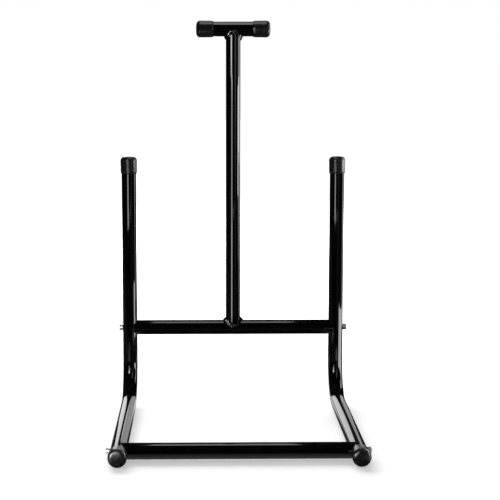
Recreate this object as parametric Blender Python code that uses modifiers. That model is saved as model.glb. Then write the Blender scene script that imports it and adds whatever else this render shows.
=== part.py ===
"""Boot washing stand: two bent side tubes, bolted cross tubes and a T-handle.

Metres, +Z up, front towards -Y. The origin is the middle of the footprint on
the floor. Each tube, cap, bolt, insert and weld is an object of its own.
"""
import math

import bmesh
import bpy
from mathutils import Vector

# Tube stock
TUBE_OD = 0.0254
TUBE_WALL = 0.0016
TUBE_SIDES = 24

# Frame layout
TRACK = 0.362            # between the two side tubes' axes
BASE_LENGTH = 0.418      # from the front faces of the foot caps to the posts' axis
BEND_RADIUS = 0.064      # on the tube's axis
BEND_STEPS = 12
POST_HEIGHT = 0.435      # floor to the top of the post caps
REAR_TUBE_HEIGHT = 0.134  # floor to the rear cross tube's axis
HANDLE_HEIGHT = 0.653    # floor to the handle bar's axis
HANDLE_WIDTH = 0.128     # over the handle bar's caps

# Slip-on caps
CAP_WALL = 0.0014
CAP_END = 0.0022
CAP_LENGTH = 0.030
CAP_ROUND = 0.0066       # outside, around the closed end
CAP_LIP = 0.0007         # how far the open rim is turned in
CAP_TO_TUBE = 0.0032     # free tube between a foot cap's rim and the front cross tube

# Screws and the threaded inserts they pull on
SCREW_RADIUS = 0.0030
SCREW_GRIP = 0.013       # screw inside the insert
HEAD_RADIUS = 0.0052
HEAD_HEIGHT = 0.0060
HEAD_CHAMFER = 0.0006
SOCKET_FLATS = 0.0050
SOCKET_DEPTH = 0.0032
INSERT_LENGTH = 0.018
INSERT_CHAMFER = 0.0008
TURNED_SIDES = 20

# Fillet welds of the T-handle
WELD_LEG = 0.0062
WELD_CROWN = 0.42        # size of the bead where the two tubes run flush
WELD_EASE = 0.06         # rounds the bead's path at the front and back of the saddle
WELD_STEPS = 40

# Fit
GAP = 0.0003             # between pieces that touch or slide together
BORE_CLEARANCE = 0.0003  # screw to its hole, on the radius

TUBE_R = TUBE_OD / 2
CAP_INNER_R = TUBE_R + GAP
CAP_R = CAP_INNER_R + CAP_WALL
COPE_R = TUBE_R + GAP
BORE_R = SCREW_RADIUS + BORE_CLEARANCE
INSERT_R = TUBE_R - TUBE_WALL - GAP
CAP_INNER_ROUND = CAP_ROUND - CAP_WALL
# A tube stops where the corner of its end meets the rounding inside the cap.
TUBE_INSET = CAP_END + CAP_INNER_ROUND + GAP - math.sqrt(GAP * (2.0 * CAP_INNER_ROUND - GAP))

REAR_REACH = max(CAP_R, TUBE_R + WELD_CROWN * WELD_LEG)
DEPTH = BASE_LENGTH + REAR_REACH
FRONT_Y = -DEPTH / 2
POST_Y = FRONT_Y + BASE_LENGTH
HALF_TRACK = TRACK / 2

# The floor run falls from the foot cap's rim to the underside of the bend.
RIM_Y = FRONT_Y + CAP_LENGTH
BEND_Y = POST_Y - BEND_RADIUS
BEND_Z = TUBE_R + BEND_RADIUS
TO_BEND = Vector((BEND_Y - RIM_Y, BEND_Z - CAP_R))
FALL = math.asin(BEND_RADIUS / TO_BEND.length) - math.atan2(TO_BEND.y, TO_BEND.x)
FRONT_TUBE_Y = RIM_Y + CAP_TO_TUBE + TUBE_R


def floor_z(y):
    """Height of the floor run's axis at a given distance back."""
    return CAP_R - (y - RIM_Y) * math.tan(FALL)


FRONT_TUBE_Z = floor_z(FRONT_TUBE_Y)
HEAD_SEAT_X = HALF_TRACK + TUBE_R + GAP
INSERT_SEAT_X = HALF_TRACK - COPE_R - GAP

PARTS = "boot_washing_stand"
CUTTERS = "boot_washing_stand_cutters"

MATERIALS = {
    "powder_coat": ((0.012, 0.012, 0.013, 1.0), 0.0, 0.12),
    "vinyl": ((0.020, 0.020, 0.021, 1.0), 0.0, 0.42),
    "zinc": ((0.62, 0.62, 0.61, 1.0), 1.0, 0.30),
    "bare_steel": ((0.40, 0.40, 0.41, 1.0), 1.0, 0.45),
}


def clear_scene():
    for obj in list(bpy.data.objects):
        bpy.data.objects.remove(obj, do_unlink=True)


def new_collection(name):
    collection = bpy.data.collections.new(name)
    bpy.context.scene.collection.children.link(collection)
    return collection


def material(name):
    found = bpy.data.materials.get(name)
    if found:
        return found
    colour, metallic, roughness = MATERIALS[name]
    made = bpy.data.materials.new(name)
    made.use_nodes = True
    shader = made.node_tree.nodes["Principled BSDF"]
    shader.inputs["Base Color"].default_value = colour
    shader.inputs["Metallic"].default_value = metallic
    shader.inputs["Roughness"].default_value = roughness
    made.diffuse_color = colour
    return made


def place(obj, point, towards):
    """Put a piece made about Z at a point with its top facing a direction."""
    obj.location = point
    obj.rotation_euler = Vector(towards).to_track_quat("Z", "Y").to_euler()


def add_part(name, mesh, slot):
    mesh.name = name
    mesh.materials.clear()
    mesh.materials.append(material(slot))
    mesh.polygons.foreach_set("use_smooth", [True] * len(mesh.polygons))
    obj = bpy.data.objects.new(name, mesh)
    bpy.data.collections[PARTS].objects.link(obj)
    return obj


def add_cutter(name, mesh, point, towards):
    mesh.name = name
    obj = bpy.data.objects.new(name, mesh)
    place(obj, point, towards)
    obj.hide_render = True
    obj.display_type = "WIRE"
    bpy.data.collections[CUTTERS].objects.link(obj)
    return obj


def cut(obj, cutter):
    modifier = obj.modifiers.new(cutter.name, "BOOLEAN")
    modifier.operation = "DIFFERENCE"
    modifier.solver = "EXACT"
    modifier.object = cutter


def cylinder(radius, length, sides):
    mesh = bpy.data.meshes.new("cylinder")
    work = bmesh.new()
    bmesh.ops.create_cone(work, cap_ends=True, segments=sides, radius1=radius, radius2=radius, depth=length)
    work.to_mesh(mesh)
    work.free()
    return mesh


def mesh_of(obj, outward):
    """Mesh of a curve or modified object, welded, with its faces turned out."""
    bpy.context.view_layer.update()
    graph = bpy.context.evaluated_depsgraph_get()
    mesh = bpy.data.meshes.new_from_object(obj.evaluated_get(graph))
    mesh.transform(obj.matrix_world)
    work = bmesh.new()
    work.from_mesh(mesh)
    bmesh.ops.remove_doubles(work, verts=work.verts, dist=0.00002)
    if outward:
        bmesh.ops.recalc_face_normals(work, faces=work.faces)
    work.to_mesh(mesh)
    work.free()
    bpy.data.objects.remove(obj, do_unlink=True)
    return mesh


def path_curve(name, points, cyclic):
    curve = bpy.data.curves.new(name, "CURVE")
    curve.dimensions = "3D"
    curve.twist_mode = "Z_UP"
    spline = curve.splines.new("POLY")
    spline.points.add(len(points) - 1)
    for point, spot in zip(spline.points, points):
        point.co = (spot[0], spot[1], spot[2], 1.0)
    spline.use_cyclic_u = cyclic
    obj = bpy.data.objects.new(name, curve)
    bpy.data.collections[PARTS].objects.link(obj)
    return obj


def tube(name, points):
    """Hollow tube along a path: the outer skin is swept, then given its wall."""
    path = path_curve(name, points, False)
    path.data.twist_mode = "MINIMUM"
    path.data.bevel_depth = TUBE_R
    path.data.bevel_resolution = (TUBE_SIDES - 4) // 2
    path.data.use_fill_caps = False
    obj = add_part(name, mesh_of(path, True), "powder_coat")
    wall = obj.modifiers.new("wall", "SOLIDIFY")
    wall.thickness = TUBE_WALL
    wall.offset = -1.0
    wall.use_even_offset = True
    return obj


def turned(name, profile, closed, sides, slot):
    """Piece turned about Z from a profile of (radius, height) points."""
    mesh = bpy.data.meshes.new(name)
    work = bmesh.new()
    points = [work.verts.new((radius, 0.0, height)) for radius, height in profile]
    for first, second in zip(points, points[1:]):
        work.edges.new((first, second))
    if closed:
        work.edges.new((points[-1], points[0]))
    work.to_mesh(mesh)
    work.free()
    obj = bpy.data.objects.new(name, mesh)
    bpy.data.collections[PARTS].objects.link(obj)
    lathe = obj.modifiers.new("lathe", "SCREW")
    lathe.axis = "Z"
    lathe.angle = math.tau
    lathe.steps = sides
    lathe.render_steps = sides
    lathe.use_merge_vertices = True
    lathe.merge_threshold = 0.00005
    return add_part(name, mesh_of(obj, True), slot)


def arc(centre, radius, start, end, steps):
    return [(centre[0] + radius * math.cos(math.radians(start + (end - start) * step / steps)),
             centre[1] + radius * math.sin(math.radians(start + (end - start) * step / steps)))
            for step in range(steps + 1)]


def cap(name, end_face, towards):
    """Dipped vinyl cap whose closed end faces a direction."""
    profile = [(0.0, 0.0)]
    profile += arc((CAP_R - CAP_ROUND, -CAP_ROUND), CAP_ROUND, 90.0, 0.0, 6)
    profile += [(CAP_R, -CAP_LENGTH + 2.0 * CAP_LIP)]
    profile += [(CAP_R - CAP_LIP, -CAP_LENGTH)]
    profile += [(CAP_INNER_R, -CAP_LENGTH)]
    profile += arc((CAP_INNER_R - CAP_INNER_ROUND, -CAP_END - CAP_INNER_ROUND), CAP_INNER_ROUND, 0.0, 90.0, 5)
    profile += [(0.0, -CAP_END)]
    obj = turned(name, profile, False, TUBE_SIDES, "vinyl")
    place(obj, end_face, towards)
    return obj


def side_tube(name, side):
    """Foot, bend and post in one length of tube."""
    x = side * HALF_TRACK
    start_y = FRONT_Y + TUBE_INSET
    points = [(x, start_y, floor_z(start_y))]
    for step in range(BEND_STEPS + 1):
        turn = -FALL + (math.pi / 2 + FALL) * step / BEND_STEPS
        points.append((x, BEND_Y + BEND_RADIUS * math.sin(turn), BEND_Z - BEND_RADIUS * math.cos(turn)))
    points.append((x, POST_Y, POST_HEIGHT - TUBE_INSET))
    return tube(name, points)


def screw(name, side, y, z):
    length = HEAD_SEAT_X - INSERT_SEAT_X + SCREW_GRIP
    profile = [(0.0, HEAD_HEIGHT)]
    profile += [(HEAD_RADIUS - HEAD_CHAMFER, HEAD_HEIGHT)]
    profile += [(HEAD_RADIUS, HEAD_HEIGHT - HEAD_CHAMFER)]
    profile += [(HEAD_RADIUS, 0.0)]
    profile += [(SCREW_RADIUS, 0.0)]
    profile += [(SCREW_RADIUS, -length + HEAD_CHAMFER)]
    profile += [(SCREW_RADIUS - HEAD_CHAMFER, -length)]
    profile += [(0.0, -length)]
    obj = turned(name, profile, False, TURNED_SIDES, "zinc")
    place(obj, (side * HEAD_SEAT_X, y, z), (side, 0.0, 0.0))
    socket = cylinder(SOCKET_FLATS / 2 / math.cos(math.pi / 6), SOCKET_DEPTH * 2, 6)
    face = (side * (HEAD_SEAT_X + HEAD_HEIGHT), y, z)
    cut(obj, add_cutter(name + "_socket", socket, face, (side, 0.0, 0.0)))
    return obj


def insert(name, side, y, z):
    """Threaded plug that sits in the end of a cross tube."""
    profile = [(INSERT_R - INSERT_CHAMFER, 0.0)]
    profile += [(INSERT_R, -INSERT_CHAMFER)]
    profile += [(INSERT_R, INSERT_CHAMFER - INSERT_LENGTH)]
    profile += [(INSERT_R - INSERT_CHAMFER, -INSERT_LENGTH)]
    profile += [(BORE_R, -INSERT_LENGTH)]
    profile += [(BORE_R, 0.0)]
    obj = turned(name, profile, True, TURNED_SIDES, "bare_steel")
    place(obj, (side * INSERT_SEAT_X, y, z), (side, 0.0, 0.0))
    return obj


def weld(name, axis_z, up, cutters):
    """Fillet bead that follows the saddle where the post meets a level tube."""
    corners = [(1.0, -0.12), (0.47, 0.47), (-0.12, 1.0), (-0.35, -0.35)]
    profile = path_curve(name + "_profile", [(a * WELD_LEG, up * b * WELD_LEG, 0.0) for a, b in corners], True)
    profile.data.dimensions = "2D"
    points = []
    sizes = []
    for step in range(WELD_STEPS):
        angle = math.tau * (step + 0.5) / WELD_STEPS
        rise = TUBE_R * math.sqrt((math.cos(angle) ** 2 + WELD_EASE) / (1.0 + WELD_EASE))
        points.append((TUBE_R * math.cos(angle), POST_Y + TUBE_R * math.sin(angle), axis_z + up * rise))
        sizes.append(WELD_CROWN + (1.0 - WELD_CROWN) * math.cos(angle) ** 2)
    path = path_curve(name, points, True)
    for point, size in zip(path.data.splines[0].points, sizes):
        point.radius = size
    path.data.bevel_mode = "OBJECT"
    path.data.bevel_object = profile
    mesh = mesh_of(path, True)
    bpy.data.objects.remove(profile, do_unlink=True)
    obj = add_part(name, mesh, "powder_coat")
    for cutter in cutters:
        cut(obj, cutter)
    return obj


def cope_cutter(name, point, towards, length):
    return add_cutter(name, cylinder(COPE_R, length, TUBE_SIDES), point, towards)


def bore_cutter(name, y, z):
    mesh = cylinder(BORE_R, TRACK + 4.0 * TUBE_OD, TURNED_SIDES)
    return add_cutter(name, mesh, (0.0, y, z), (1.0, 0.0, 0.0))


def cross_tube(name, y, z, along):
    """Level tube whose ends are coped to fit round the side tubes or posts."""
    obj = tube(name, [(-HALF_TRACK, y, z), (HALF_TRACK, y, z)])
    for side, label in ((-1, "left"), (1, "right")):
        cut(obj, cope_cutter(name + "_cope_" + label, (side * HALF_TRACK, y, z), along, 6.0 * TUBE_OD))
    return obj


def build():
    clear_scene()
    new_collection(PARTS)
    new_collection(CUTTERS)
    floor_run = (0.0, math.cos(FALL), -math.sin(FALL))
    upright = (0.0, 0.0, 1.0)

    bores = [bore_cutter("front_bore", FRONT_TUBE_Y, FRONT_TUBE_Z),
             bore_cutter("rear_bore", POST_Y, REAR_TUBE_HEIGHT)]
    for side, label in ((-1, "left"), (1, "right")):
        obj = side_tube(label + "_side_tube", side)
        for bore in bores:
            cut(obj, bore)
        foot_z = floor_z(FRONT_Y)
        cap(label + "_foot_cap", (side * HALF_TRACK, FRONT_Y, foot_z), [-part for part in floor_run])
        cap(label + "_post_cap", (side * HALF_TRACK, POST_Y, POST_HEIGHT), upright)
        cap(label + "_handle_cap", (side * HANDLE_WIDTH / 2, POST_Y, HANDLE_HEIGHT), (side, 0.0, 0.0))
        for end, y, z in (("front", FRONT_TUBE_Y, FRONT_TUBE_Z), ("rear", POST_Y, REAR_TUBE_HEIGHT)):
            screw(end + "_" + label + "_screw", side, y, z)
            insert(end + "_" + label + "_insert", side, y, z)

    cross_tube("front_cross_tube", FRONT_TUBE_Y, FRONT_TUBE_Z, floor_run)
    cross_tube("rear_cross_tube", POST_Y, REAR_TUBE_HEIGHT, upright)

    bar_half = HANDLE_WIDTH / 2 - TUBE_INSET
    tube("handle_bar", [(-bar_half, POST_Y, HANDLE_HEIGHT), (bar_half, POST_Y, HANDLE_HEIGHT)])
    post = tube("handle_post", [(0.0, POST_Y, REAR_TUBE_HEIGHT), (0.0, POST_Y, HANDLE_HEIGHT)])
    base_cope = cope_cutter("post_base_cope", (0.0, POST_Y, REAR_TUBE_HEIGHT), (1.0, 0.0, 0.0), 4.0 * TUBE_OD)
    bar_cope = cope_cutter("post_top_cope", (0.0, POST_Y, HANDLE_HEIGHT), (1.0, 0.0, 0.0), 4.0 * TUBE_OD)
    cut(post, base_cope)
    cut(post, bar_cope)
    middle = (REAR_TUBE_HEIGHT + HANDLE_HEIGHT) / 2
    shell = cope_cutter("post_shell", (0.0, POST_Y, middle), upright, HANDLE_HEIGHT - REAR_TUBE_HEIGHT)
    weld("handle_base_weld", REAR_TUBE_HEIGHT, 1.0, [base_cope, shell])
    weld("handle_bar_weld", HANDLE_HEIGHT, -1.0, [bar_cope, shell])


build()
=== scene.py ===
"""Boot washing stand: tubes, welds, caps and screws on the shared frame, in a small studio."""

import math

import bmesh
import bpy
from mathutils import Matrix, Vector


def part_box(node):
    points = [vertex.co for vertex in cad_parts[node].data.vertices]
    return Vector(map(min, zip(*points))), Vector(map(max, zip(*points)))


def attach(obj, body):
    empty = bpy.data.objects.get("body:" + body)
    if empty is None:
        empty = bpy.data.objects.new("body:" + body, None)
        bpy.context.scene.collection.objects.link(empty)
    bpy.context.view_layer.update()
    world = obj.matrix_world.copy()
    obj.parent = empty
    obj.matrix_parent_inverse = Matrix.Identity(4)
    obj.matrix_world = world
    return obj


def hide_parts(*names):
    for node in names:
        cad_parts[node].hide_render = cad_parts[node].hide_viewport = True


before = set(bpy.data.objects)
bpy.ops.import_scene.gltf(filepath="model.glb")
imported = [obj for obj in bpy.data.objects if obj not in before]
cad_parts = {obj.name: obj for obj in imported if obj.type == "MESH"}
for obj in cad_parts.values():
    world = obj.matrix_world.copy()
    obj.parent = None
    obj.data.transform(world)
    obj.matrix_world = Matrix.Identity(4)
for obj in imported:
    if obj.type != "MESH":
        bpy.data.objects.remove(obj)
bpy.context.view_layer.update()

bl_info = {
    "name": "Boot washing stand",
    "version": (1, 0, 0),
    "blender": (4, 5, 0),
    "location": "3D View > Sidebar > Stand",
    "description": "Models the tubes, welds, caps and screws of a boot washing stand",
    "category": "Object",
}


# Places read from the frame

def middle(node):
    low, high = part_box(node)
    return (low + high) / 2


SIDES = {"left": middle("left_side_tube").x, "right": middle("right_side_tube").x}
POST_Y = middle("handle_post").y
REAR_Z = middle("rear_cross_tube").z
BAR_Z = middle("handle_bar").z
FRONT_Y, FRONT_Z = middle("front_cross_tube").yz
FOOT_FACE_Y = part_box("left_foot_cap")[0].y
RUN_START_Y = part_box("left_side_tube")[0].y
POST_END_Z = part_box("left_side_tube")[1].z
POST_TOP_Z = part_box("left_post_cap")[1].z
BAR_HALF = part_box("handle_bar")[1].x
HANDLE_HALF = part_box("right_handle_cap")[1].x
HEAD_FACE_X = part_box("front_right_screw")[1].x
SCREW_TIP_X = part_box("front_right_screw")[0].x

QUARTER = math.pi / 2
CLOSE = 1e-6  # points nearer than this are one


# Values a user would change

class StandSizes(bpy.types.PropertyGroup):
    tube_diameter: bpy.props.FloatProperty(
        name="Tube diameter", description="Outside diameter of every tube",
        default=0.0254, min=0.01, unit="LENGTH", subtype="DISTANCE")
    tube_wall: bpy.props.FloatProperty(
        name="Tube wall", description="Wall thickness of every tube",
        default=0.0016, min=0.0005, unit="LENGTH", subtype="DISTANCE")
    tube_sides: bpy.props.IntProperty(
        name="Tube sides", description="Flats around a tube", default=72, min=24, max=160)
    bend_radius: bpy.props.FloatProperty(
        name="Bend radius", description="Centre line radius of the side tube bends",
        default=0.064, min=0.02, unit="LENGTH", subtype="DISTANCE")
    bend_steps: bpy.props.IntProperty(
        name="Bend steps", description="Rings along a bend", default=36, min=8, max=90)
    seat_gap: bpy.props.FloatProperty(
        name="Seat gap", description="Hairline left at a coped end",
        default=0.0003, min=0.0, unit="LENGTH", subtype="DISTANCE")
    cap_diameter: bpy.props.FloatProperty(
        name="Cap diameter", description="Outside diameter of the slip-on caps",
        default=0.0288, min=0.01, unit="LENGTH", subtype="DISTANCE")
    cap_bore: bpy.props.FloatProperty(
        name="Cap bore", description="Inside diameter of the slip-on caps",
        default=0.0260, min=0.01, unit="LENGTH", subtype="DISTANCE")
    cap_length: bpy.props.FloatProperty(
        name="Cap length", description="Length of a slip-on cap over all",
        default=0.030, min=0.01, unit="LENGTH", subtype="DISTANCE")
    cap_end: bpy.props.FloatProperty(
        name="Cap end", description="Thickness of a cap's closed end",
        default=0.0022, min=0.0005, unit="LENGTH", subtype="DISTANCE")
    cap_round: bpy.props.FloatProperty(
        name="Cap rounding", description="Radius around a cap's closed end",
        default=0.0066, min=0.0005, unit="LENGTH", subtype="DISTANCE")
    weld_leg: bpy.props.FloatProperty(
        name="Weld leg", description="Mean leg of the fillet welds",
        default=0.0060, min=0.001, unit="LENGTH", subtype="DISTANCE")
    weld_ripples: bpy.props.IntProperty(
        name="Weld ripples", description="Ripples around a weld", default=30, min=6, max=80)
    ripple_height: bpy.props.FloatProperty(
        name="Ripple height", description="Half height of the weld ripples",
        default=0.00015, min=0.0, unit="LENGTH", subtype="DISTANCE")
    head_diameter: bpy.props.FloatProperty(
        name="Screw head diameter", description="Diameter of the socket heads",
        default=0.0104, min=0.004, unit="LENGTH", subtype="DISTANCE")
    head_height: bpy.props.FloatProperty(
        name="Screw head height", description="Height of the socket heads",
        default=0.006, min=0.002, unit="LENGTH", subtype="DISTANCE")
    shank_diameter: bpy.props.FloatProperty(
        name="Screw shank diameter", description="Diameter of the screw shanks",
        default=0.006, min=0.002, unit="LENGTH", subtype="DISTANCE")
    socket_flats: bpy.props.FloatProperty(
        name="Socket width", description="Width across the flats of the hex socket",
        default=0.005, min=0.001, unit="LENGTH", subtype="DISTANCE")
    socket_depth: bpy.props.FloatProperty(
        name="Socket depth", description="Depth of the hex socket",
        default=0.0032, min=0.0005, unit="LENGTH", subtype="DISTANCE")


class StandColours(bpy.types.PropertyGroup):
    powder: bpy.props.FloatVectorProperty(
        name="Powder coat", description="Colour of the coated tubes and welds",
        default=(0.0022, 0.0022, 0.0024), min=0.0, max=1.0, size=3, subtype="COLOR")
    powder_roughness: bpy.props.FloatProperty(
        name="Powder coat roughness", description="Roughness of the coating where it is clean",
        default=0.045, min=0.0, max=1.0, subtype="FACTOR")
    vinyl: bpy.props.FloatVectorProperty(
        name="Vinyl", description="Colour of the caps",
        default=(0.012, 0.012, 0.0124), min=0.0, max=1.0, size=3, subtype="COLOR")
    vinyl_roughness: bpy.props.FloatProperty(
        name="Vinyl roughness", description="Roughness of the caps",
        default=0.22, min=0.0, max=1.0, subtype="FACTOR")
    zinc: bpy.props.FloatVectorProperty(
        name="Zinc", description="Colour of the plated screws",
        default=(0.70, 0.71, 0.73), min=0.0, max=1.0, size=3, subtype="COLOR")
    steel: bpy.props.FloatVectorProperty(
        name="Bare steel", description="Colour of the turned inserts",
        default=(0.46, 0.45, 0.44), min=0.0, max=1.0, size=3, subtype="COLOR")


class StageSettings(bpy.types.PropertyGroup):
    floor: bpy.props.FloatVectorProperty(
        name="Floor", description="Colour of the floor",
        default=(0.8, 0.8, 0.8), min=0.0, max=1.0, size=3, subtype="COLOR")
    lamp_power: bpy.props.FloatProperty(
        name="Lamp", description="Power of the wide soft lamp behind the stand in watts",
        default=185.0, min=0.0)
    room_light: bpy.props.FloatProperty(
        name="Room light", description="Strength of the even light from all around",
        default=0.28, min=0.0)
    floor_lift: bpy.props.FloatProperty(
        name="Floor lift", description="Light that the floor gives off near the stand",
        default=0.42, min=0.0)
    lens: bpy.props.FloatProperty(
        name="Lens", description="Focal length of the camera in millimetres",
        default=98.38, min=10.0)


# Modelling helpers

def pick_none():
    if bpy.context.mode != "OBJECT":
        bpy.ops.object.mode_set(mode="OBJECT")
    bpy.ops.object.select_all(action="DESELECT")


def pick(obj):
    pick_none()
    obj.select_set(True)
    bpy.context.view_layer.objects.active = obj


def drop(obj):
    pick(obj)
    bpy.ops.object.delete()


def made():
    """The object that was just added, with its place written into its mesh."""
    bpy.ops.object.transform_apply(location=True, rotation=True, scale=True)
    return bpy.context.view_layer.objects.active


def edit_all():
    """Go to edit mode on the active object, with all of it selected."""
    bpy.ops.object.mode_set(mode="EDIT")
    bpy.ops.mesh.select_mode(type="VERT")
    bpy.ops.mesh.select_all(action="SELECT")


def choose(obj, kind, test):
    """Go to edit mode and select the edges or faces that pass the test."""
    if bpy.context.mode == "OBJECT":
        pick(obj)
        bpy.ops.object.mode_set(mode="EDIT")
    bpy.ops.mesh.select_mode(type=kind)
    bpy.ops.mesh.select_all(action="DESELECT")
    bm = bmesh.from_edit_mesh(obj.data)
    bm.normal_update()
    elements = {"EDGE": bm.edges, "FACE": bm.faces}[kind]
    found = [element for element in elements if test(element)]
    if not found:
        raise RuntimeError(f"nothing to select on {obj.name}")
    for element in found:
        element.select_set(True)
    bmesh.update_edit_mesh(obj.data)


def push(x=0.0, y=0.0, z=0.0):
    bpy.ops.mesh.extrude_region_move(TRANSFORM_OT_translate={"value": (x, y, z)})


def apply_new(kind, **settings):
    """Add a modifier to the active object, set it and apply it."""
    obj = bpy.context.view_layer.objects.active
    bpy.ops.object.modifier_add(type=kind)
    modifier = obj.modifiers[-1]
    for key, value in settings.items():
        setattr(modifier, key, value)
    bpy.ops.object.modifier_apply(modifier=modifier.name)


def cut(obj, cutter):
    """Cut one object out of another; the cutter is used up."""
    pick(obj)
    apply_new("BOOLEAN", operation="DIFFERENCE", solver="EXACT", object=cutter)
    drop(cutter)
    pick(obj)


def copy_of(obj):
    pick(obj)
    bpy.ops.object.duplicate(linked=False)
    return bpy.context.view_layer.objects.active


def clean(obj):
    """Merge doubles and turn the faces outwards."""
    pick(obj)
    edit_all()
    bpy.ops.mesh.remove_doubles(threshold=CLOSE)
    bpy.ops.mesh.normals_make_consistent(inside=False)
    bpy.ops.object.mode_set(mode="OBJECT")


def coat(obj, name, colours):
    obj.data.materials.clear()
    obj.data.materials.append(finish(name, colours))


def settle(obj, node, slot, colours, angle=32.0):
    """Finish a piece: place in its mesh, normals, shading, finish, and its node in the frame."""
    pick(obj)
    bpy.ops.object.transform_apply(location=True, rotation=True, scale=True)
    clean(obj)
    bpy.ops.object.shade_smooth_by_angle(angle=math.radians(angle))
    obj.name = obj.data.name = "finished_" + node
    coat(obj, slot, colours)
    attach(obj, "root")
    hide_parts(node)


# Node helpers

MIX_A, MIX_B, MIX_RESULT = 6, 7, 2  # colour sockets of a mix, which share their names with others


class Net:
    """A node tree with short calls for adding and joining nodes."""

    def __init__(self, tree):
        self.tree = tree

    def add(self, kind, **inputs):
        node = self.tree.nodes.new(kind)
        for key, value in inputs.items():
            if hasattr(node, key):
                setattr(node, key, value)
            else:
                self.feed(node.inputs[key.replace("_", " ")], value)
        return node

    def feed(self, socket, value):
        if isinstance(value, bpy.types.NodeSocket):
            self.tree.links.new(value, socket)
        else:
            socket.default_value = value

    def math(self, operation, *values):
        node = self.tree.nodes.new("ShaderNodeMath")
        node.operation = operation
        for socket, value in zip(node.inputs, values):
            self.feed(socket, value)
        return node.outputs[0]

    def noise(self, vector, scale, detail=2.0, roughness=0.5):
        node = self.add(
            "ShaderNodeTexNoise", Vector=vector, Scale=scale, Detail=detail, Roughness=roughness)
        return node.outputs["Fac"]

    def ramp(self, value, low, high, to_low=0.0, to_high=1.0):
        node = self.tree.nodes.new("ShaderNodeMapRange")
        node.interpolation_type = "SMOOTHSTEP"
        for socket, given in zip(node.inputs, (value, low, high, to_low, to_high)):
            self.feed(socket, given)
        return node.outputs[0]

    def mix(self, factor, a, b):
        node = self.tree.nodes.new("ShaderNodeMix")
        node.data_type = "RGBA"
        self.feed(node.inputs["Factor"], factor)
        self.feed(node.inputs[MIX_A], a)
        self.feed(node.inputs[MIX_B], b)
        return node.outputs[MIX_RESULT]

    def place(self):
        return self.tree.nodes.new("ShaderNodeTexCoord").outputs["Object"]


def group(name, inputs, outputs):
    """A new shader group with its sockets; gives the net, the input node and the output node."""
    tree = bpy.data.node_groups.new(name, "ShaderNodeTree")
    for label, kind, default in inputs:
        socket = tree.interface.new_socket(label, in_out="INPUT", socket_type=kind)
        socket.default_value = default
    for label, kind in outputs:
        tree.interface.new_socket(label, in_out="OUTPUT", socket_type=kind)
    return Net(tree), tree.nodes.new("NodeGroupInput"), tree.nodes.new("NodeGroupOutput")


def surface_skin(name):
    """Broad and fine waviness of a surface, put out as a normal."""
    net, given, out = group(
        name,
        [("Scale", "NodeSocketFloat", 400.0), ("Height", "NodeSocketFloat", 0.0001),
         ("Fine", "NodeSocketFloat", 0.3)],
        [("Normal", "NodeSocketVector")])
    place, scale = net.place(), given.outputs["Scale"]
    broad = net.noise(place, scale, 1.5)
    fine = net.noise(place, net.math("MULTIPLY", scale, 4.3), 2.0)
    height = net.math("ADD", broad, net.math("MULTIPLY", fine, given.outputs["Fine"]))
    bump = net.add(
        "ShaderNodeBump", Strength=1.0, Height=height, Distance=given.outputs["Height"])
    net.feed(out.inputs["Normal"], bump.outputs["Normal"])


def settled_dust(name):
    """Patches and specks of dust on what faces up."""
    net, given, out = group(
        name, [("Amount", "NodeSocketFloat", 0.5)], [("Mask", "NodeSocketFloat")])
    place = net.place()
    normal = net.tree.nodes.new("ShaderNodeNewGeometry").outputs["Normal"]
    up = net.add("ShaderNodeSeparateXYZ", Vector=normal)
    facing = net.ramp(up.outputs["Z"], 0.2, 0.95)
    patches = net.math("MULTIPLY", net.ramp(net.noise(place, 38.0, 4.0, 0.6), 0.42, 0.72), 0.5)
    specks = net.math("MULTIPLY", net.ramp(net.noise(place, 1500.0, 1.0), 0.66, 0.74), 0.5)
    film = net.math("MULTIPLY", facing, net.math("ADD", patches, specks))
    net.feed(out.inputs["Mask"], net.math("MULTIPLY", film, given.outputs["Amount"]))


def handling_marks(name):
    """Soft smudges, and a few fine scratches that waver."""
    net, given, out = group(
        name, [("Scale", "NodeSocketFloat", 60.0)],
        [("Smudge", "NodeSocketFloat"), ("Scratch", "NodeSocketFloat")])
    place = net.place()
    smudge = net.ramp(net.noise(place, given.outputs["Scale"], 3.0, 0.55), 0.35, 0.75)
    drift = net.add("ShaderNodeTexNoise", Vector=place, Scale=25.0)
    warp = net.add("ShaderNodeVectorMath", operation="SCALE")
    net.feed(warp.inputs[0], drift.outputs["Color"])
    warp.inputs["Scale"].default_value = 0.02
    moved = net.add("ShaderNodeVectorMath", operation="ADD")
    net.feed(moved.inputs[0], place)
    net.feed(moved.inputs[1], warp.outputs[0])
    cells = net.add(
        "ShaderNodeTexVoronoi", feature="DISTANCE_TO_EDGE", Vector=moved.outputs[0], Scale=90.0)
    line = net.ramp(cells.outputs["Distance"], 0.004, 0.012, 1.0, 0.0)
    some = net.ramp(net.noise(place, 45.0, 2.0), 0.56, 0.66)
    net.feed(out.inputs["Smudge"], smudge)
    net.feed(out.inputs["Scratch"], net.math("MULTIPLY", line, some))


EFFECTS = {
    "surface_skin": surface_skin,
    "settled_dust": settled_dust,
    "handling_marks": handling_marks,
}


def use(net, name, **inputs):
    """Place an effect, built when it is first asked for, and give its outputs."""
    if name not in bpy.data.node_groups:
        EFFECTS[name](name)
    node = net.tree.nodes.new("ShaderNodeGroup")
    node.node_tree = bpy.data.node_groups[name]
    for key, value in inputs.items():
        net.feed(node.inputs[key], value)
    return node.outputs


# Finishes

WHITE = (1.0, 1.0, 1.0, 1.0)
COAT_DUST = (0.16, 0.155, 0.15, 1.0)
VINYL_DUST = (0.13, 0.125, 0.12, 1.0)
WORN_ZINC = (0.42, 0.42, 0.42, 1.0)
COAT_IOR = 1.6
VINYL_IOR = 1.5


def fresh(name):
    """A new material with its net and its surface shader."""
    material = bpy.data.materials.new(name)
    material.use_nodes = True
    net = Net(material.node_tree)
    return material, net, material.node_tree.nodes["Principled BSDF"]


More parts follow.
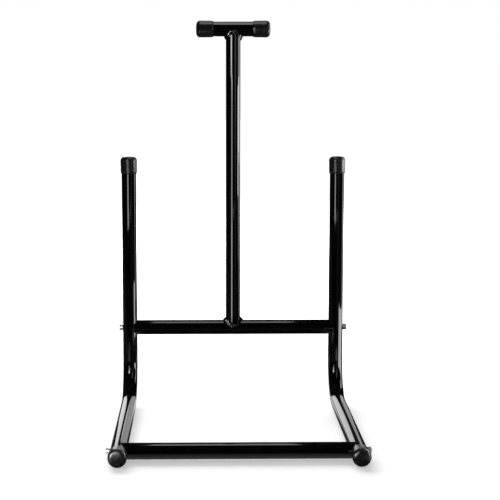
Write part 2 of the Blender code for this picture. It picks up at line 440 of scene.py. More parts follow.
def scaled(colour, by):
    """A colour made darker or lighter, with its alpha."""
    return tuple(min(1.0, c * by) for c in colour) + (1.0,)


def toned(net, colour, scale, detail, low, high):
    """A colour that wanders between a darker and a lighter tone."""
    wander = net.noise(net.place(), scale, detail)
    return net.mix(wander, scaled(colour, low), scaled(colour, high))


def skin(net, shader, scale, height, fine):
    bumpy = use(net, "surface_skin", Scale=scale, Height=height, Fine=fine)
    net.feed(shader.inputs["Normal"], bumpy["Normal"])


def powder_coat(net, shader, colours):
    dust = use(net, "settled_dust", Amount=0.08)["Mask"]
    marks = use(net, "handling_marks", Scale=55.0)
    tone = toned(net, colours.powder, 16.0, 3.0, 0.8, 1.25)
    net.feed(shader.inputs["Base Color"], net.mix(dust, tone, COAT_DUST))
    rough = net.math("MULTIPLY_ADD", marks["Smudge"], 0.02, colours.powder_roughness)
    rough = net.math("ADD", rough, net.math("MULTIPLY", dust, 0.35))
    rough = net.math("MULTIPLY_ADD", marks["Scratch"], 0.08, rough)
    net.feed(shader.inputs["Roughness"], rough)
    skin(net, shader, 300.0, 0.000014, 0.04)
    shader.inputs["IOR"].default_value = COAT_IOR


def vinyl(net, shader, colours):
    dust = use(net, "settled_dust", Amount=0.4)["Mask"]
    marks = use(net, "handling_marks", Scale=120.0)
    tone = toned(net, colours.vinyl, 70.0, 3.0, 0.8, 1.3)
    net.feed(shader.inputs["Base Color"], net.mix(dust, tone, VINYL_DUST))
    rough = net.math("MULTIPLY_ADD", marks["Smudge"], 0.12, colours.vinyl_roughness)
    rough = net.math("MULTIPLY_ADD", dust, 0.3, rough)
    net.feed(shader.inputs["Roughness"], rough)
    skin(net, shader, 190.0, 0.00028, 0.12)
    shader.inputs["IOR"].default_value = VINYL_IOR


def zinc(net, shader, colours):
    marks = use(net, "handling_marks", Scale=300.0)
    tone = toned(net, colours.zinc, 260.0, 4.0, 0.86, 1.06)
    net.feed(shader.inputs["Base Color"], net.mix(marks["Scratch"], tone, WORN_ZINC))
    rough = net.math("MULTIPLY_ADD", marks["Smudge"], 0.14, 0.34)
    net.feed(shader.inputs["Roughness"], rough)
    skin(net, shader, 1400.0, 0.00003, 0.4)
    shader.inputs["Metallic"].default_value = 1.0


def bare_steel(net, shader, colours):
    marks = use(net, "handling_marks", Scale=200.0)
    tone = toned(net, colours.steel, 180.0, 4.0, 0.8, 1.1)
    net.feed(shader.inputs["Base Color"], tone)
    rings = net.add("ShaderNodeTexWave", Vector=net.place(), Scale=420.0, Distortion=0.3)
    rough = net.math("MULTIPLY_ADD", marks["Smudge"], 0.12, 0.3)
    rough = net.math("MULTIPLY_ADD", rings.outputs["Fac"], 0.1, rough)
    net.feed(shader.inputs["Roughness"], rough)
    skin(net, shader, 900.0, 0.00003, 0.4)
    shader.inputs["Metallic"].default_value = 1.0


FINISHES = {
    "powder_coat": powder_coat,
    "vinyl": vinyl,
    "zinc": zinc,
    "bare_steel": bare_steel,
}


def finish(name, colours):
    """The finish of this name, mixed when it is first asked for."""
    full = "finish_" + name
    if full not in bpy.data.materials:
        _, net, shader = fresh(full)
        FINISHES[name](net, shader, colours)
    return bpy.data.materials[full]


# Shapes

COPE_SIDES = 128  # sides of the cylinder that cuts a coped end


def floor_fall(sizes):
    """Fall of the floor runs, from the thicker caps in front to the bare tube behind."""
    rim = FOOT_FACE_Y + sizes.cap_length
    back = POST_Y - sizes.bend_radius
    return math.atan2((sizes.cap_diameter - sizes.tube_diameter) / 2, back - rim)


def run_z(sizes, y):
    rim = FOOT_FACE_Y + sizes.cap_length
    return sizes.cap_diameter / 2 - (y - rim) * math.tan(floor_fall(sizes))


def straight_tube(sizes, start, end):
    """A tube between two points: a ring, pulled to its length and given its wall."""
    start, end = Vector(start), Vector(end)
    along = end - start
    pick_none()
    bpy.ops.mesh.primitive_circle_add(
        vertices=sizes.tube_sides, radius=sizes.tube_diameter / 2, fill_type="NOTHING",
        location=start, rotation=along.to_track_quat("Z", "Y").to_euler())
    obj = made()
    edit_all()
    push(*along)
    clean(obj)
    apply_new("SOLIDIFY", thickness=sizes.tube_wall, offset=-1.0)
    return obj


def cope(obj, sizes, start, end):
    """Fish-mouth an end of a tube to the tube that runs from start to end."""
    start, end = Vector(start), Vector(end)
    along = end - start
    pick_none()
    bpy.ops.mesh.primitive_cylinder_add(
        vertices=COPE_SIDES, radius=sizes.tube_diameter / 2 + sizes.seat_gap, depth=along.length,
        location=(start + end) / 2, rotation=along.to_track_quat("Z", "Y").to_euler())
    cut(obj, made())


class STAND_OT_side_tubes(bpy.types.Operator):
    """Model the two bent side tubes: floor run, bend and post"""

    bl_idname = "stand.side_tubes"
    bl_label = "Side tubes"
    bl_options = {"REGISTER", "UNDO"}

    def execute(self, context):
        sizes, colours = context.scene.stand_sizes, context.scene.stand_colours
        fall = floor_fall(sizes)
        radius = sizes.tube_diameter / 2
        centre = Vector((SIDES["left"], POST_Y - sizes.bend_radius, radius + sizes.bend_radius))
        start = Vector((SIDES["left"], RUN_START_Y, run_z(sizes, RUN_START_Y)))
        turn = centre - sizes.bend_radius * Vector((0.0, math.sin(fall), math.cos(fall)))
        pick_none()
        bpy.ops.mesh.primitive_circle_add(
            vertices=sizes.tube_sides, radius=radius, fill_type="NOTHING",
            location=start, rotation=(QUARTER - fall, 0.0, 0.0))
        obj = made()
        edit_all()
        push(*(turn - start))
        bpy.ops.mesh.spin(
            steps=sizes.bend_steps, angle=-(QUARTER + fall), center=centre, axis=(1.0, 0.0, 0.0))
        push(z=POST_END_Z - centre.z)
        clean(obj)
        apply_new("SOLIDIFY", thickness=sizes.tube_wall, offset=-1.0)
        right = copy_of(obj)
        right.location.x = SIDES["right"] - SIDES["left"]
        settle(obj, "left_side_tube", "powder_coat", colours)
        settle(right, "right_side_tube", "powder_coat", colours)
        return {"FINISHED"}


class STAND_OT_cross_tubes(bpy.types.Operator):
    """Model the front and rear cross tubes with ends coped to the side tubes"""

    bl_idname = "stand.cross_tubes"
    bl_label = "Cross tubes"
    bl_options = {"REGISTER", "UNDO"}

    def execute(self, context):
        sizes, colours = context.scene.stand_sizes, context.scene.stand_colours
        past = 2 * sizes.tube_diameter
        left, right = SIDES["left"], SIDES["right"]
        front = straight_tube(sizes, (left, FRONT_Y, FRONT_Z), (right, FRONT_Y, FRONT_Z))
        near, far = FRONT_Y - past, FRONT_Y + past
        for x in (left, right):
            cope(front, sizes, (x, near, run_z(sizes, near)), (x, far, run_z(sizes, far)))
        settle(front, "front_cross_tube", "powder_coat", colours)
        rear = straight_tube(sizes, (left, POST_Y, REAR_Z), (right, POST_Y, REAR_Z))
        for x in (left, right):
            cope(rear, sizes, (x, POST_Y, REAR_Z - past), (x, POST_Y, REAR_Z + past))
        settle(rear, "rear_cross_tube", "powder_coat", colours)
        return {"FINISHED"}


class STAND_OT_handle(bpy.types.Operator):
    """Model the handle post and the bar across its top"""

    bl_idname = "stand.handle"
    bl_label = "Handle"
    bl_options = {"REGISTER", "UNDO"}

    def execute(self, context):
        sizes, colours = context.scene.stand_sizes, context.scene.stand_colours
        past = 2 * sizes.tube_diameter
        post = straight_tube(sizes, (0.0, POST_Y, REAR_Z), (0.0, POST_Y, BAR_Z))
        for z in (REAR_Z, BAR_Z):
            cope(post, sizes, (-past, POST_Y, z), (past, POST_Y, z))
        settle(post, "handle_post", "powder_coat", colours)
        bar = straight_tube(sizes, (-BAR_HALF, POST_Y, BAR_Z), (BAR_HALF, POST_Y, BAR_Z))
        settle(bar, "handle_bar", "powder_coat", colours)
        return {"FINISHED"}


WELD_RINGS = 288  # steps around the post
WELD_POINTS = 24  # points in a section
WELD_FACE = 17  # those of them on the outside, from toe to toe
WELD_EASE = 0.06  # rounds the saddle in front of the post and behind it
WELD_THIN = 0.55  # leg there, as a share of the leg at the sides of the post
WELD_CROWN, WELD_CROWN_MORE = 0.02, 0.10  # bulge at the sides, and what is added in front, in legs
WELD_WAVES = ((0.06, 3, 1.0), (0.04, 7, 2.3))  # unevenness: share of the leg, number around, shift
WELD_TUCK = 0.00025  # depth of the toes under the tubes' skin
WELD_ROOT = 0.8  # depth of the inside, in walls of a tube
WELD_INSIDE = 0.5  # width of the inside, as a share of the outside's
RIPPLE_LAG = 10.0  # how far the ripples trail at the toes
RIPPLE_STRAY, RIPPLE_STRAYS = 0.5, 5  # how far they stray from even steps, and how often around
RIPPLE_STEEP, RIPPLE_SHIFT = 0.25, 0.6  # size and shift of the wave that steepens them
WELDS = {
    # node: height of the tube it sits on, way the post leaves it, leg on the post, leg on the tube
    "handle_base_weld": (REAR_Z, 1.0, 1.0, 0.97),
    "handle_bar_weld": (BAR_Z, -1.0, 1.22, 0.66),
}


def seam(radius, turn):
    """Where post and tube meet: the point, and the ways up the post, down the tube and out."""
    c, s = math.cos(turn), math.sin(turn)
    lift = math.sqrt((c * c + WELD_EASE) / (1 + WELD_EASE))
    foot = Vector((radius * c, radius * s, radius * lift))
    tangent = Vector((-s, c, -c * s / ((1 + WELD_EASE) * lift))).normalized()
    on_post = Vector((c, s, 0.0))
    on_tube = Vector((0.0, s, lift)).normalized()
    return foot, on_post.cross(tangent), tangent.cross(on_tube), (on_post + on_tube).normalized()


def ripple(sizes, turn, across, seed):
    """Height of the ripples at a point of a weld's face."""
    trail = RIPPLE_LAG * (across - 0.5) ** 2
    stray = RIPPLE_STRAY * math.sin(RIPPLE_STRAYS * turn + seed)
    arc = sizes.weld_ripples * turn + trail + stray
    wave = math.sin(arc) + RIPPLE_STEEP * math.sin(2 * arc + RIPPLE_SHIFT)
    return sizes.ripple_height * wave


def saddle(sizes, node, turn, across):
    """A point of a weld: turn goes around the post, across from toe to toe and back inside."""
    height, way, post_leg, tube_leg = WELDS[node]
    seed = 2.0 + way  # each weld has its own unevenness
    foot, up, down, out = seam(sizes.tube_diameter / 2, turn)
    front = math.sin(turn) ** 2
    uneven = 1.0 + sum(
        share * math.sin(count * turn + shift * seed) for share, count, shift in WELD_WAVES)
    leg = sizes.weld_leg * (1.0 - (1.0 - WELD_THIN) * front) * uneven
    if across <= 1.0:
        toes = ((1 - across) * post_leg * up + across * tube_leg * down) * leg
        crest = 4 * across * (1 - across)
        crown = leg * (WELD_CROWN + WELD_CROWN_MORE * front) + ripple(sizes, turn, across, seed)
        point = foot + toes + out * (crown * crest - WELD_TUCK * (1 - crest))
    else:
        inside = (1.5 - across) * (tube_leg * down - post_leg * up) * leg * WELD_INSIDE
        point = foot - out * sizes.tube_wall * WELD_ROOT + inside
    return Vector((point.x, point.y + POST_Y, height + way * point.z))


class STAND_OT_welds(bpy.types.Operator):
    """Model the two saddle-shaped fillet welds of the handle post, ripples and all"""

    bl_idname = "stand.welds"
    bl_label = "Welds"
    bl_options = {"REGISTER", "UNDO"}

    def execute(self, context):
        sizes, colours = context.scene.stand_sizes, context.scene.stand_colours
        for node in WELDS:
            pick_none()
            bpy.ops.mesh.primitive_torus_add(
                major_segments=WELD_RINGS, minor_segments=WELD_POINTS,
                major_radius=sizes.tube_diameter / 2, minor_radius=sizes.weld_leg / 2,
                location=(0.0, POST_Y, WELDS[node][0]))
            obj = made()
            for vertex in obj.data.vertices:
                ring, step = divmod(vertex.index, WELD_POINTS)
                if step < WELD_FACE:
                    across = step / (WELD_FACE - 1)
                else:
                    across = 1.0 + (step - WELD_FACE + 1) / (WELD_POINTS - WELD_FACE + 1)
                vertex.co = saddle(sizes, node, 2 * math.pi * ring / WELD_RINGS, across)
            settle(obj, node, "powder_coat", colours, angle=60.0)
        return {"FINISHED"}


CAP_SIDES = 72
CAP_INNER_STEPS = 6  # steps around the corner inside
CAP_CORNER_STEPS = 16  # steps around the corner outside
CAP_SLOPE = math.radians(9.0)  # slope of the slight dome where it meets the corner
CAP_DOME = (0.82, 0.62, 0.4, 0.2, 0.05)  # rings on the dome, as shares of its radius
# The rolled lip: outwards from the bore or inwards from the outside, and down from the rim
CAP_LIP_INSIDE = ((0.0, 0.0004), (0.00015, 0.0), (0.00035, 0.0001), (0.00055, 0.0006))
CAP_LIP_OUTSIDE = ((0.00055, 0.0019), (0.00028, 0.0031), (0.00022, 0.0046))
CAP_WAIST = 0.00018  # how far the skirt draws in above the closed end
CAP_WAIST_AT, CAP_FULL_AT = 0.55, 0.3  # where it is drawn in, and full again, in cap lengths


def cap_profile(sizes):
    """Radius and height of a cap's rings, from inside its end over the lip to the dome."""
    outer, bore, length = sizes.cap_diameter / 2, sizes.cap_bore / 2, sizes.cap_length
    soft, inside = sizes.cap_round, sizes.cap_round - (outer - bore)
    flat = outer - soft + soft * math.sin(CAP_SLOPE)
    dome = flat * math.tan(CAP_SLOPE) / 2
    shoulder = dome + soft * math.cos(CAP_SLOPE)
    profile = []
    for step in range(CAP_INNER_STEPS + 1):
        bend = math.radians(90.0 - 90.0 / CAP_INNER_STEPS * step)
        profile.append((bore - inside + inside * math.cos(bend),
                        sizes.cap_end + inside - inside * math.sin(bend)))
    profile += [(bore + out, length - down) for out, down in CAP_LIP_INSIDE]
    profile += [(outer - within, length - down) for within, down in CAP_LIP_OUTSIDE]
    profile.append((outer - CAP_WAIST, length * CAP_WAIST_AT))
    profile += [(outer, length * CAP_FULL_AT), (outer, shoulder)]
    for step in range(1, CAP_CORNER_STEPS + 1):
        bend = (QUARTER - CAP_SLOPE) * step / CAP_CORNER_STEPS
        profile.append((outer - soft + soft * math.cos(bend), shoulder - soft * math.sin(bend)))
    return profile + [(flat * share, dome * share * share) for share in CAP_DOME]


class STAND_OT_caps(bpy.types.Operator):
    """Model one slip-on cap and set it on the six tube ends"""

    bl_idname = "stand.caps"
    bl_label = "Caps"
    bl_options = {"REGISTER", "UNDO"}

    def execute(self, context):
        sizes, colours = context.scene.stand_sizes, context.scene.stand_colours
        (radius, height), *rings = cap_profile(sizes)
        pick_none()
        bpy.ops.mesh.primitive_circle_add(
            vertices=CAP_SIDES, radius=radius, fill_type="NOTHING", location=(0.0, 0.0, height))
        cap = made()
        edit_all()
        for wide, high in rings:
            push(z=high - height)
            bpy.ops.transform.resize(
                value=(wide / radius, wide / radius, 1.0), center_override=(0.0, 0.0, high))
            radius, height = wide, high
        bpy.ops.mesh.edge_face_add()
        choose(cap, "EDGE", lambda e: e.is_boundary)
        bpy.ops.mesh.edge_face_add()
        clean(cap)
        left, right = SIDES["left"], SIDES["right"]
        foot_z = run_z(sizes, FOOT_FACE_Y)
        lying, hanging = (-QUARTER - floor_fall(sizes), 0.0, 0.0), (math.pi, 0.0, 0.0)
        places = {
            "left_foot_cap": ((left, FOOT_FACE_Y, foot_z), lying),
            "right_foot_cap": ((right, FOOT_FACE_Y, foot_z), lying),
            "left_post_cap": ((left, POST_Y, POST_TOP_Z), hanging),
            "right_post_cap": ((right, POST_Y, POST_TOP_Z), hanging),
            "left_handle_cap": ((-HANDLE_HALF, POST_Y, BAR_Z), (0.0, QUARTER, 0.0)),
            "right_handle_cap": ((HANDLE_HALF, POST_Y, BAR_Z), (0.0, -QUARTER, 0.0)),
        }
        for node, (location, rotation) in places.items():
            piece = copy_of(cap)
            piece.location = location
            piece.rotation_euler = rotation
            settle(piece, node, "vinyl", colours, angle=40.0)
        drop(cap)
        return {"FINISHED"}


HEAD_SIDES = 96
HEAD_EDGE = 0.0007  # rounding of the head's edge
TIP_EDGE = 0.0006  # bevel on the tip
KNURL_RIM = 0.00007
KNURL_DEPTH = 0.00012
SINK_SIDES = 64
SINK_RADIUS, SINK_DEPTH, SINK_DROP = 0.66, 0.5, 0.16  # cone at the socket's mouth, in flats
FIRST_TURN, NEXT_TURN = 0.35, 0.8  # how the sockets happen to stand, in radians


def in_knurl(face):
    """Every second face around a screw's head."""
    centre = face.calc_center_median()
    number = round(math.atan2(centre.y, centre.x) / (2 * math.pi / HEAD_SIDES) - 0.5)
    return abs(face.normal.z) < 0.1 and centre.z > 0.0 and number % 2 == 0


class STAND_OT_screws(bpy.types.Operator):
    """Model one socket head screw and set it in the four joints"""

    bl_idname = "stand.screws"
    bl_label = "Screws"
    bl_options = {"REGISTER", "UNDO"}

    def execute(self, context):
        sizes, colours = context.scene.stand_sizes, context.scene.stand_colours
        head, height, flats = sizes.head_diameter / 2, sizes.head_height, sizes.socket_flats
        shank = HEAD_FACE_X - SCREW_TIP_X - height
        pick_none()
        bpy.ops.mesh.primitive_cylinder_add(
            vertices=HEAD_SIDES, radius=head, depth=height, end_fill_type="NGON",
            location=(0.0, 0.0, height / 2))
        screw = made()
        choose(screw, "EDGE", lambda e: all(v.co.z > height - CLOSE for v in e.verts))
        bpy.ops.mesh.bevel(offset=HEAD_EDGE, segments=5, profile=0.5, affect="EDGES")
        choose(screw, "FACE", lambda f: len(f.verts) > 4 and f.normal.z < -0.9)
        bpy.ops.mesh.inset(thickness=head - sizes.shank_diameter / 2)
        push(z=-shank)
        choose(screw, "EDGE", lambda e: all(v.co.z < CLOSE - shank for v in e.verts))
        bpy.ops.mesh.bevel(offset=TIP_EDGE, segments=2, affect="EDGES")
        choose(screw, "FACE", in_knurl)
        bpy.ops.mesh.inset(thickness=KNURL_RIM, depth=-KNURL_DEPTH, use_individual=True)
        pick_none()
        bpy.ops.mesh.primitive_cylinder_add(
            vertices=6, radius=flats / math.sqrt(3), depth=2 * sizes.socket_depth,
            location=(0.0, 0.0, height))
        cut(screw, made())
        pick_none()
        bpy.ops.mesh.primitive_cone_add(
            vertices=SINK_SIDES, radius1=0.0, radius2=flats * SINK_RADIUS,
            depth=flats * SINK_DEPTH, location=(0.0, 0.0, height - flats * SINK_DROP))
        cut(screw, made())
        clean(screw)
        seats = {
            "front_left_screw": (-HEAD_FACE_X + height, FRONT_Y, FRONT_Z, -1),
            "front_right_screw": (HEAD_FACE_X - height, FRONT_Y, FRONT_Z, 1),
            "rear_left_screw": (-HEAD_FACE_X + height, POST_Y, REAR_Z, -1),
            "rear_right_screw": (HEAD_FACE_X - height, POST_Y, REAR_Z, 1),
        }
        for number, (node, (x, y, z, way)) in enumerate(seats.items()):
            piece = copy_of(screw)
            piece.matrix_world = (
                Matrix.Translation((x, y, z)) @ Matrix.Rotation(way * QUARTER, 4, "Y")
                @ Matrix.Rotation(FIRST_TURN + NEXT_TURN * number, 4, "Z"))
            settle(piece, node, "zinc", colours, angle=30.0)
        drop(screw)
        return {"FINISHED"}


class STAND_OT_inserts(bpy.types.Operator):
    """Give the four turned inserts inside the cross tubes their steel finish"""

    bl_idname = "stand.inserts"
    bl_label = "Inserts"
    bl_options = {"REGISTER", "UNDO"}

    def execute(self, context):
        for tube in ("front", "rear"):
            for side in SIDES:
                insert = bpy.data.objects[f"{tube}_{side}_insert"]
                coat(insert, "bare_steel", context.scene.stand_colours)
        return {"FINISHED"}


# Studio

def seen_rays(net):
    """One for camera, glossy and transmission rays, nought for the rest."""
    path = net.tree.nodes.new("ShaderNodeLightPath").outputs
    return net.math("MAXIMUM", path["Is Camera Ray"],
                    net.math("MAXIMUM", path["Is Glossy Ray"], path["Is Transmission Ray"]))


def reach(light, only=(), never=()):
    """Let a lamp or card reach only some pieces, or all but some."""
    if not only and not never:
        return
    pieces = bpy.data.collections.new(light.name)
    for node in only or never:
        pieces.objects.link(bpy.data.objects["finished_" + node])
    for entry in pieces.collection_objects:
        entry.light_linking.link_state = "INCLUDE" if only else "EXCLUDE"
    light.light_linking.receiver_collection = pieces


def card(name, size, location, rotation, paint, only=(), never=()):
    """A studio card that only reflections see."""
    pick_none()
    bpy.ops.mesh.primitive_plane_add(size=1.0, location=location, rotation=rotation)
    obj = bpy.context.view_layer.objects.active
    obj.scale = (size[0], size[1], 1.0)
    obj = made()
    obj.name = name
    material = bpy.data.materials.new(name)
    material.use_nodes = True
    net = Net(material.node_tree)
    net.tree.nodes.clear()
    glow = net.tree.nodes.new("ShaderNodeEmission")
    paint(net, glow)
    net.feed(net.tree.nodes.new("ShaderNodeOutputMaterial").inputs["Surface"], glow.outputs[0])
    obj.data.materials.append(material)
    obj.visible_camera = obj.visible_diffuse = obj.visible_shadow = False
    obj.visible_transmission = obj.visible_volume_scatter = False
    reach(obj, only, never)


def standing(name, start, end, low, high, paint, only=(), never=()):
    """An upright card over the line between two points of the floor."""
    a, b = Vector(start), Vector(end)
    along = b - a
    card(name, (along.length, high - low), (*((a + b) / 2), (high + low) / 2),
         (QUARTER, 0.0, math.atan2(along.y, along.x)), paint, only, never)


def plain(level):
    """Paint a card in one brightness."""
    def paint(net, glow):
        glow.inputs["Strength"].default_value = level
    return paint


def fade(axis, low, high, from_level, to_level):
    """Paint a card so that its brightness fades along an axis."""
    def paint(net, glow):
        spot = net.add("ShaderNodeSeparateXYZ", Vector=net.place())
        level = net.ramp(spot.outputs[axis], low, high, from_level, to_level)
        net.feed(glow.inputs["Strength"], level)
    return paint


def lamp(name, location, aim, size, power, only=()):
    """A soft lamp; one for only some pieces gives them a highlight and no other light."""
    pick_none()
    turn = (Vector(aim) - Vector(location)).to_track_quat("-Z", "Y").to_euler()
    bpy.ops.object.light_add(type="AREA", location=location, rotation=turn)
    obj = bpy.context.view_layer.objects.active
    obj.name = name
    obj.data.shape = "RECTANGLE"
    obj.data.size, obj.data.size_y = size
    obj.data.energy = power
    obj.visible_camera = False
    obj.visible_glossy = bool(only)
    obj.visible_diffuse = not only
    reach(obj, only)


FLAT, FACING, SIDEWAYS = (0.0, 0.0, 0.0), (QUARTER, 0.0, 0.0), (QUARTER, 0.0, QUARTER)
BENT = ("left_side_tube", "right_side_tube")
LEVEL = ("front_cross_tube", "rear_cross_tube")
FEET = ("left_foot_cap", "right_foot_cap")
SEAMS = tuple(WELDS)

DARK = 0.004  # brightness of the dark cards
FLOOR_WIDTH = 30.0
WHITE_FROM, WHITE_AT = 0.45, 1.3  # how far out the floor starts to turn white, and is white

CAMERA_PLACE = (-0.05872, -2.17118, 0.57822)
CAMERA_YAW, CAMERA_DIP, CAMERA_ROLL = -0.870, 7.389, -0.025  # degrees
CAMERA_SHIFT = (0.06, 0.0004)
SENSOR_WIDTH = 36.0


def white_room(scene, stage):
    """Even light from all around, which is plain white to look at."""
    world = bpy.data.worlds.new("studio")
    scene.world = world
    world.use_nodes = True
    net = Net(world.node_tree)
    back = world.node_tree.nodes["Background"]
    back.inputs["Color"].default_value = WHITE
    room = stage.room_light
    net.feed(back.inputs["Strength"], net.math("MULTIPLY_ADD", seen_rays(net), 1.0 - room, room))


def pale_floor(stage):
    """A floor that keeps the stand's shadow and goes over into the white further out."""
    pick_none()
    bpy.ops.mesh.primitive_plane_add(size=FLOOR_WIDTH, location=(0.0, 0.0, 0.0))
    floor = made()
    floor.name = "floor"
    material, net, shader = fresh("floor")
    shader.inputs["Base Color"].default_value = (*stage.floor, 1.0)
    shader.inputs["Roughness"].default_value = 0.9
    shader.inputs["Specular IOR Level"].default_value = 0.0
    away = net.add("ShaderNodeVectorMath", operation="LENGTH")
    net.feed(away.inputs[0], net.place())
    lift = net.ramp(away.outputs["Value"], WHITE_FROM, WHITE_AT, stage.floor_lift, 1.0)
    shader.inputs["Emission Color"].default_value = WHITE
    net.feed(shader.inputs["Emission Strength"], net.math("MULTIPLY", seen_rays(net), lift))
    floor.data.materials.append(material)


def lying_cards(dark):
    """Cards on the floor, for the undersides of the tubes and the feet."""
    card("card_floor", (4.8, 2.37), (0.0, 1.02, 0.0006), FLAT, plain(0.05))
    card("card_floor_mid", (0.33, 0.43), (0.0, 0.265, 0.0009), FLAT,
         fade("Y", 0.06, 0.24, 0.05, 1.1), only=BENT)
    card("card_floor_near", (4.8, 0.06), (0.0, -0.195, 0.0006), FLAT,
         fade("Y", -0.218, -0.178, 0.02, 0.34))
    card("card_floor_front", (8.0, 2.83), (0.0, -1.64, 0.0006), FLAT, dark)
    card("card_foot_left", (0.20, 0.27), (-0.298, -0.265, 0.0009), FLAT, plain(0.45))
    card("card_foot_right", (0.20, 0.19), (0.305, -0.225, 0.0009), FLAT, plain(0.8))


def rear_cards(dark):
    """The bright card behind, which the floor runs show, its dark frame and the lines across it."""
    bright = fade("X", -0.06, 0.10, 1.9, 0.80)
    card("card_back", (1.59, 0.65), (0.015, 2.2, 0.325), FACING, bright, never=LEVEL)
    card("card_back_raised", (1.59, 0.55), (0.015, 2.2, 0.925), FACING, bright, never=BENT + LEVEL)
    card("card_back_over", (1.8, 0.4), (0.0, 2.2, 1.4), FACING, dark)
    card("card_back_left", (1.6, 1.5), (-1.58, 2.2, 0.75), FACING, dark)
    card("card_back_right", (1.6, 1.5), (1.61, 2.2, 0.75), FACING, dark)
    card("card_line_left", (0.084, 0.54), (-0.210, 0.74, 0.2254), FLAT, dark)
    card("card_line_right", (0.084, 0.54), (0.246, 0.74, 0.2254), FLAT, dark)
    card("card_line_end", (0.16, 0.12), (0.222, 0.52, 0.2250), FLAT, dark)


def bright_cards():
    """Cards above and beside the stand, for the lines of light along the tubes."""
    card("card_overhead", (0.36, 0.93), (0.0, 0.435, 1.25), FLAT,
         fade("Y", 0.15, 0.6, 2.4, 0.6), never=BENT)
    standing("card_key_low", (-0.150, -0.484), (-0.355, -0.404), 0.022, 0.245,
             plain(5.0), never=BENT + LEVEL)
    glow = fade("Z", 0.48, 0.66, 3.8, 9.5)
    unlit = ("left_handle_cap", "right_foot_cap") + SEAMS
    standing("card_key", (-0.255, -0.953), (-0.625, -0.838), 0.19, 0.57, glow, never=unlit)
    standing("card_key_high", (-0.35, -0.93), (-0.74, -0.76), 0.57, 0.85, glow, never=unlit)
    standing("card_dim", (0.39, -0.60), (0.60, -0.43), 0.0, 1.2, fade("Z", 0.25, 0.7, 0.1, 0.8))
    standing("card_side", (0.85, 0.12), (0.68, 0.75), 0.14, 1.2,
             fade("Z", 0.15, 0.40, 1.0, 2.6), never=BENT + ("handle_base_weld",))
    standing("card_side_high", (0.80, -0.02), (0.80, 0.20), 0.297, 0.55,
             plain(8.5), never=BENT + SEAMS)
    standing("card_side_rear", (0.80, 0.20), (0.72, 0.46), 0.15, 0.57,
             fade("Z", 0.16, 0.25, 0.1, 8.0), never=BENT + SEAMS)
    standing("card_bend", (0.70, 0.27), (0.58, 0.47), 0.05, 0.38, fade("Z", 0.12, 0.30, 1.4, 2.6))
    standing("card_low", (0.45, -0.05), (0.49, 0.28), 0.0, 0.12, plain(6.0), only=BENT)


def soft_lamps(stage):
    """One wide lamp for the stand, and small ones for the welds' and feet's highlights."""
    lamp("soft_lamp", (-0.75, 2.75, 1.95), (0.0, -0.15, 0.0), (3.4, 2.2), stage.lamp_power)
    lamp("handle_base_weld_lamp", (-0.72, -0.58, 0.84), (0.0, 0.19, 0.4), (0.36, 0.30), 8.5,
         only=("handle_base_weld",))
    lamp("handle_bar_weld_lamp", (-0.60, -0.58, 0.62), (0.0, 0.19, 0.4), (0.36, 0.30), 5.0,
         only=("handle_bar_weld",))
    lamp("left_foot_lamp", (-0.42, -0.46, 0.10), (-0.18, -0.21, 0.02), (0.17, 0.12), 3.9,
         only=("left_foot_cap",))
    lamp("right_foot_lamp", (-0.11, -0.51, 0.08), (0.18, -0.21, 0.02), (0.40, 0.30), 2.6,
         only=("right_foot_cap",))
    lamp("side_foot_lamp", (0.76, -0.40, 0.14), (0.0, -0.20, 0.02), (0.50, 0.28), 3.0, only=FEET)


def front_camera(scene, stage):
    bpy.ops.object.camera_add()
    camera = bpy.context.view_layer.objects.active
    camera.data.sensor_width = SENSOR_WIDTH
    camera.data.lens = stage.lens
    camera.data.shift_x, camera.data.shift_y = CAMERA_SHIFT
    camera.matrix_world = (
        Matrix.Translation(CAMERA_PLACE)
        @ Matrix.Rotation(math.radians(CAMERA_YAW), 4, "Z")
        @ Matrix.Rotation(math.radians(90 - CAMERA_DIP), 4, "X")
        @ Matrix.Rotation(math.radians(CAMERA_ROLL), 4, "Z"))
    scene.camera = camera


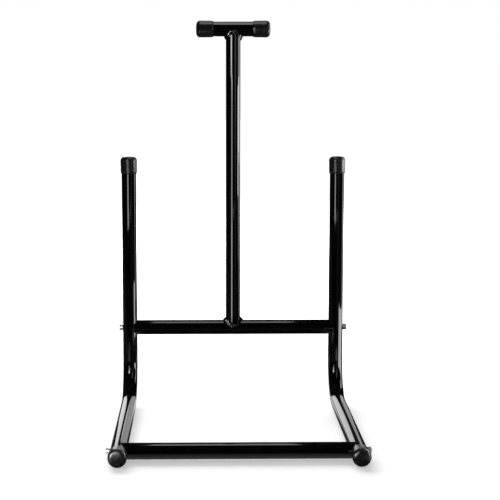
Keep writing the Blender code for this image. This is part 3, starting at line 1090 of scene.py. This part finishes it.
class STAND_OT_stage(bpy.types.Operator):
    """Set up the floor, lamps, cards and camera"""

    bl_idname = "stand.stage"
    bl_label = "Stage"
    bl_options = {"REGISTER", "UNDO"}

    def execute(self, context):
        scene, stage = context.scene, context.scene.stand_stage
        scene.view_settings.view_transform = "Standard"
        white_room(scene, stage)
        pale_floor(stage)
        dark = plain(DARK)
        card("card_front", (7.0, 4.0), (0.0, -3.2, 2.0), FACING, dark)
        card("card_left", (8.0, 4.0), (-2.4, 0.0, 2.0), SIDEWAYS, dark)
        card("card_right", (8.0, 4.0), (2.4, 0.0, 2.0), SIDEWAYS, dark)
        card("card_top", (8.0, 8.0), (0.0, 0.0, 3.2), FLAT, dark)
        card("card_back_high", (7.0, 3.0), (0.0, 3.0, 3.0), FACING, dark)
        lying_cards(dark)
        rear_cards(dark)
        bright_cards()
        soft_lamps(stage)
        front_camera(scene, stage)
        return {"FINISHED"}


class STAND_PT_panel(bpy.types.Panel):
    """Lists the pieces of the stand and their values"""

    bl_idname = "STAND_PT_panel"
    bl_label = "Boot washing stand"
    bl_space_type = "VIEW_3D"
    bl_region_type = "UI"
    bl_category = "Stand"

    def draw(self, context):
        layout = self.layout
        for kind in STEPS:
            layout.operator(kind.bl_idname)
        scene = context.scene
        for values in (scene.stand_sizes, scene.stand_colours, scene.stand_stage):
            box = layout.box()
            for name in values.__annotations__:
                box.prop(values, name)


STEPS = (
    STAND_OT_side_tubes, STAND_OT_cross_tubes, STAND_OT_handle, STAND_OT_welds,
    STAND_OT_caps, STAND_OT_screws, STAND_OT_inserts, STAND_OT_stage,
)
CLASSES = (StandSizes, StandColours, StageSettings) + STEPS + (STAND_PT_panel,)


def register():
    for kind in CLASSES:
        bpy.utils.register_class(kind)
    bpy.types.Scene.stand_sizes = bpy.props.PointerProperty(type=StandSizes)
    bpy.types.Scene.stand_colours = bpy.props.PointerProperty(type=StandColours)
    bpy.types.Scene.stand_stage = bpy.props.PointerProperty(type=StageSettings)


def unregister():
    del bpy.types.Scene.stand_stage
    del bpy.types.Scene.stand_colours
    del bpy.types.Scene.stand_sizes
    for kind in reversed(CLASSES):
        bpy.utils.unregister_class(kind)


def main():
    register()
    bpy.ops.stand.side_tubes()
    bpy.ops.stand.cross_tubes()
    bpy.ops.stand.handle()
    bpy.ops.stand.welds()
    bpy.ops.stand.caps()
    bpy.ops.stand.screws()
    bpy.ops.stand.inserts()
    bpy.ops.stand.stage()


if __name__ == "__main__":
    main()
